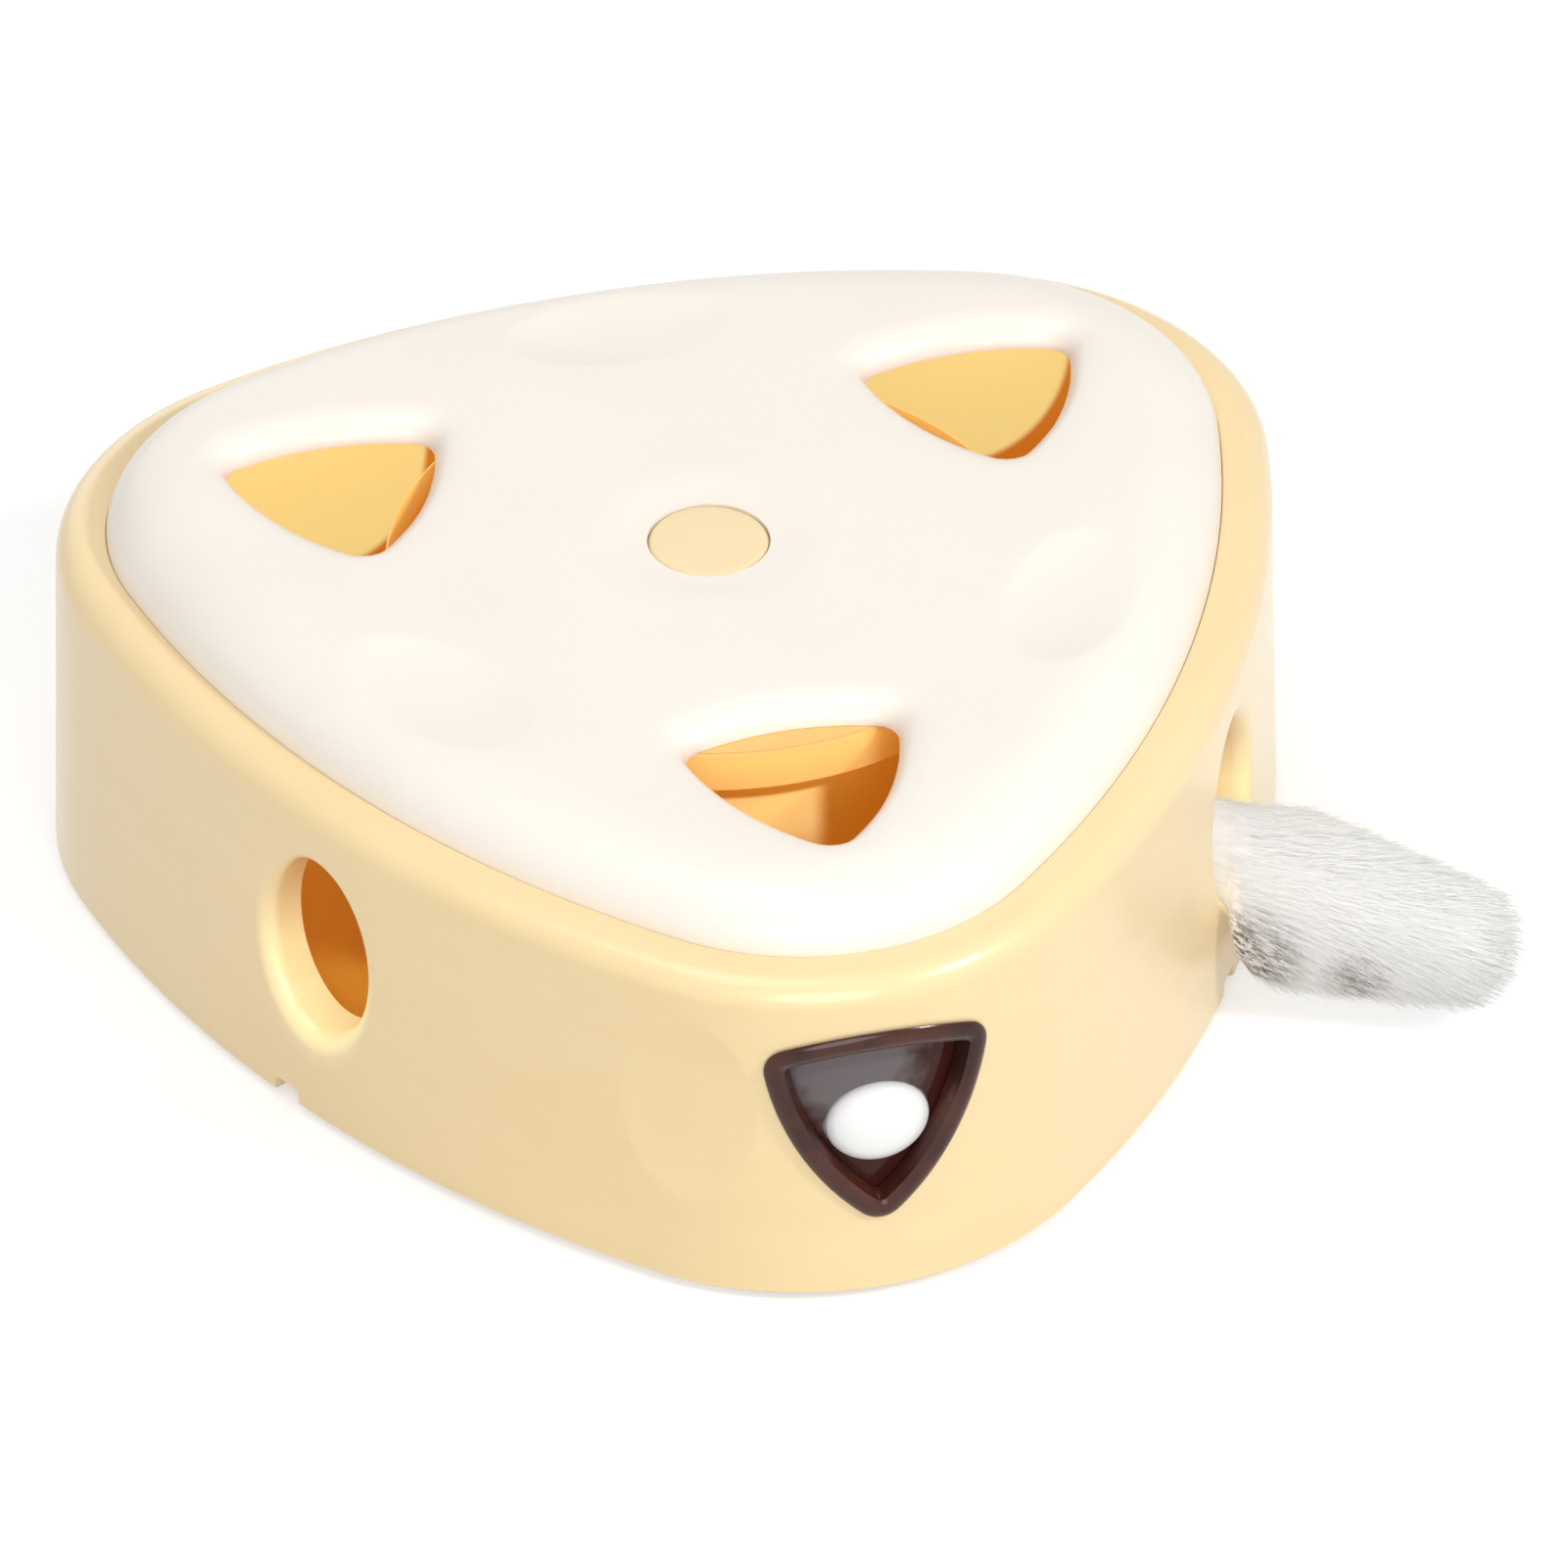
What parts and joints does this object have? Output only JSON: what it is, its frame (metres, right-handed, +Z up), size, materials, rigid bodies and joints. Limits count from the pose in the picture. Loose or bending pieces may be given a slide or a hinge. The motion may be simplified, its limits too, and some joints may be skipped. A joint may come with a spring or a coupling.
{
  "type": "automatic cat teaser toy",
  "caption": "Cheese-shaped battery cat toy: rounded triangular case with pick-shaped openings, side holes and a geared drum that swings a fur tail from hole to hole.",
  "frame": {"origin": "centre of the base's rest face, on the drum's axis, at the floor", "axes": "+Z up along the drum's axis; -Y towards the front corner, which holds the sensor window; +X to the right seen from the front"},
  "size_m": [0.2277, 0.2067, 0.073],
  "materials": {
    "battery_wrap": "shrink-wrapped cell",
    "brass": "plain brass",
    "circuit_board": "coated circuit board",
    "dark_plastic": "polished dark brown frame",
    "inner_plastic": "deeper yellow moulded plastic of the inner parts",
    "milky_plastic": "milky white sensor dome",
    "nylon": "natural nylon",
    "rubber": "soft dark rubber",
    "steel": "plain steel",
    "tinted_glass": "smoked clear window plate",
    "white_fur": "short white fur",
    "white_plastic": "smooth warm-white moulded plastic",
    "yellow_plastic": "smooth moulded butter-yellow shell plastic"
  },
  "bodies": {
    "housing": {"base_plate": "yellow_plastic", "base_screw_1": "steel", "base_screw_2": "steel", "base_screw_3": "steel", "battery_cell": "battery_wrap", "battery_cradle": "nylon", "body_shell": "yellow_plastic", "centre_post": "nylon", "charge_board": "circuit_board", "charge_socket": "steel", "control_board": "circuit_board", "electronics_pod": "inner_plastic", "gear_tray": "nylon", "idler_axle": "steel", "motor_can": "steel", "motor_gearbox": "brass", "motor_screw_1": "steel", "motor_screw_2": "steel", "pod_screw_1": "steel", "pod_screw_2": "steel", "pod_screw_3": "steel", "retaining_clip": "steel", "rubber_foot_front": "rubber", "rubber_foot_left": "rubber", "rubber_foot_right": "rubber", "sensor_board": "circuit_board", "sensor_dome": "milky_plastic", "switch_case": "dark_plastic", "thrust_washer": "steel", "top_cover": "white_plastic", "window_bezel": "dark_plastic", "window_lens": "tinted_glass"},
    "rotor": {"rotor_drum": "yellow_plastic", "drive_gear": "nylon", "rotor_screw_1": "steel", "rotor_screw_2": "steel", "rotor_screw_3": "steel", "tail_socket": "inner_plastic", "tail_stick": "white_plastic", "fur_tail": "white_fur"},
    "idler": {"idler_gear": "nylon"},
    "pinion": {"motor_pinion": "brass", "motor_shaft": "steel"},
    "button": {"power_button": "yellow_plastic", "switch_plunger": "nylon"}
  },
  "joints": [
    {"name": "rotor_swing", "type": "hinge", "parent": "housing", "child": "rotor", "pos_m": [0, 0, 0], "axis": [0, 0, 1], "range_deg": [-120, 120], "deforming": ["fur_tail"]},
    {"name": "idler_spin", "type": "hinge", "parent": "housing", "child": "idler", "pos_m": [0.02819, 0.01026, 0], "axis": [0, 0, 1], "range_deg": [-485, 485]},
    {"name": "pinion_spin", "type": "hinge", "parent": "housing", "child": "pinion", "pos_m": [0.01961, 0.02654, 0], "axis": [0, 0, 1], "range_deg": [-1735, 1735]},
    {"name": "button_press", "type": "slide", "parent": "housing", "child": "button", "axis": [0, 0, -1], "range_m": [0, 0.0008], "stiffness_N_per_m": 800, "springref_m": -0.0008}
  ],
  "couplings": [
    {"joint": "idler_spin", "follows": "rotor_swing", "ratio": -4},
    {"joint": "pinion_spin", "follows": "rotor_swing", "ratio": 14.4}
  ]
}
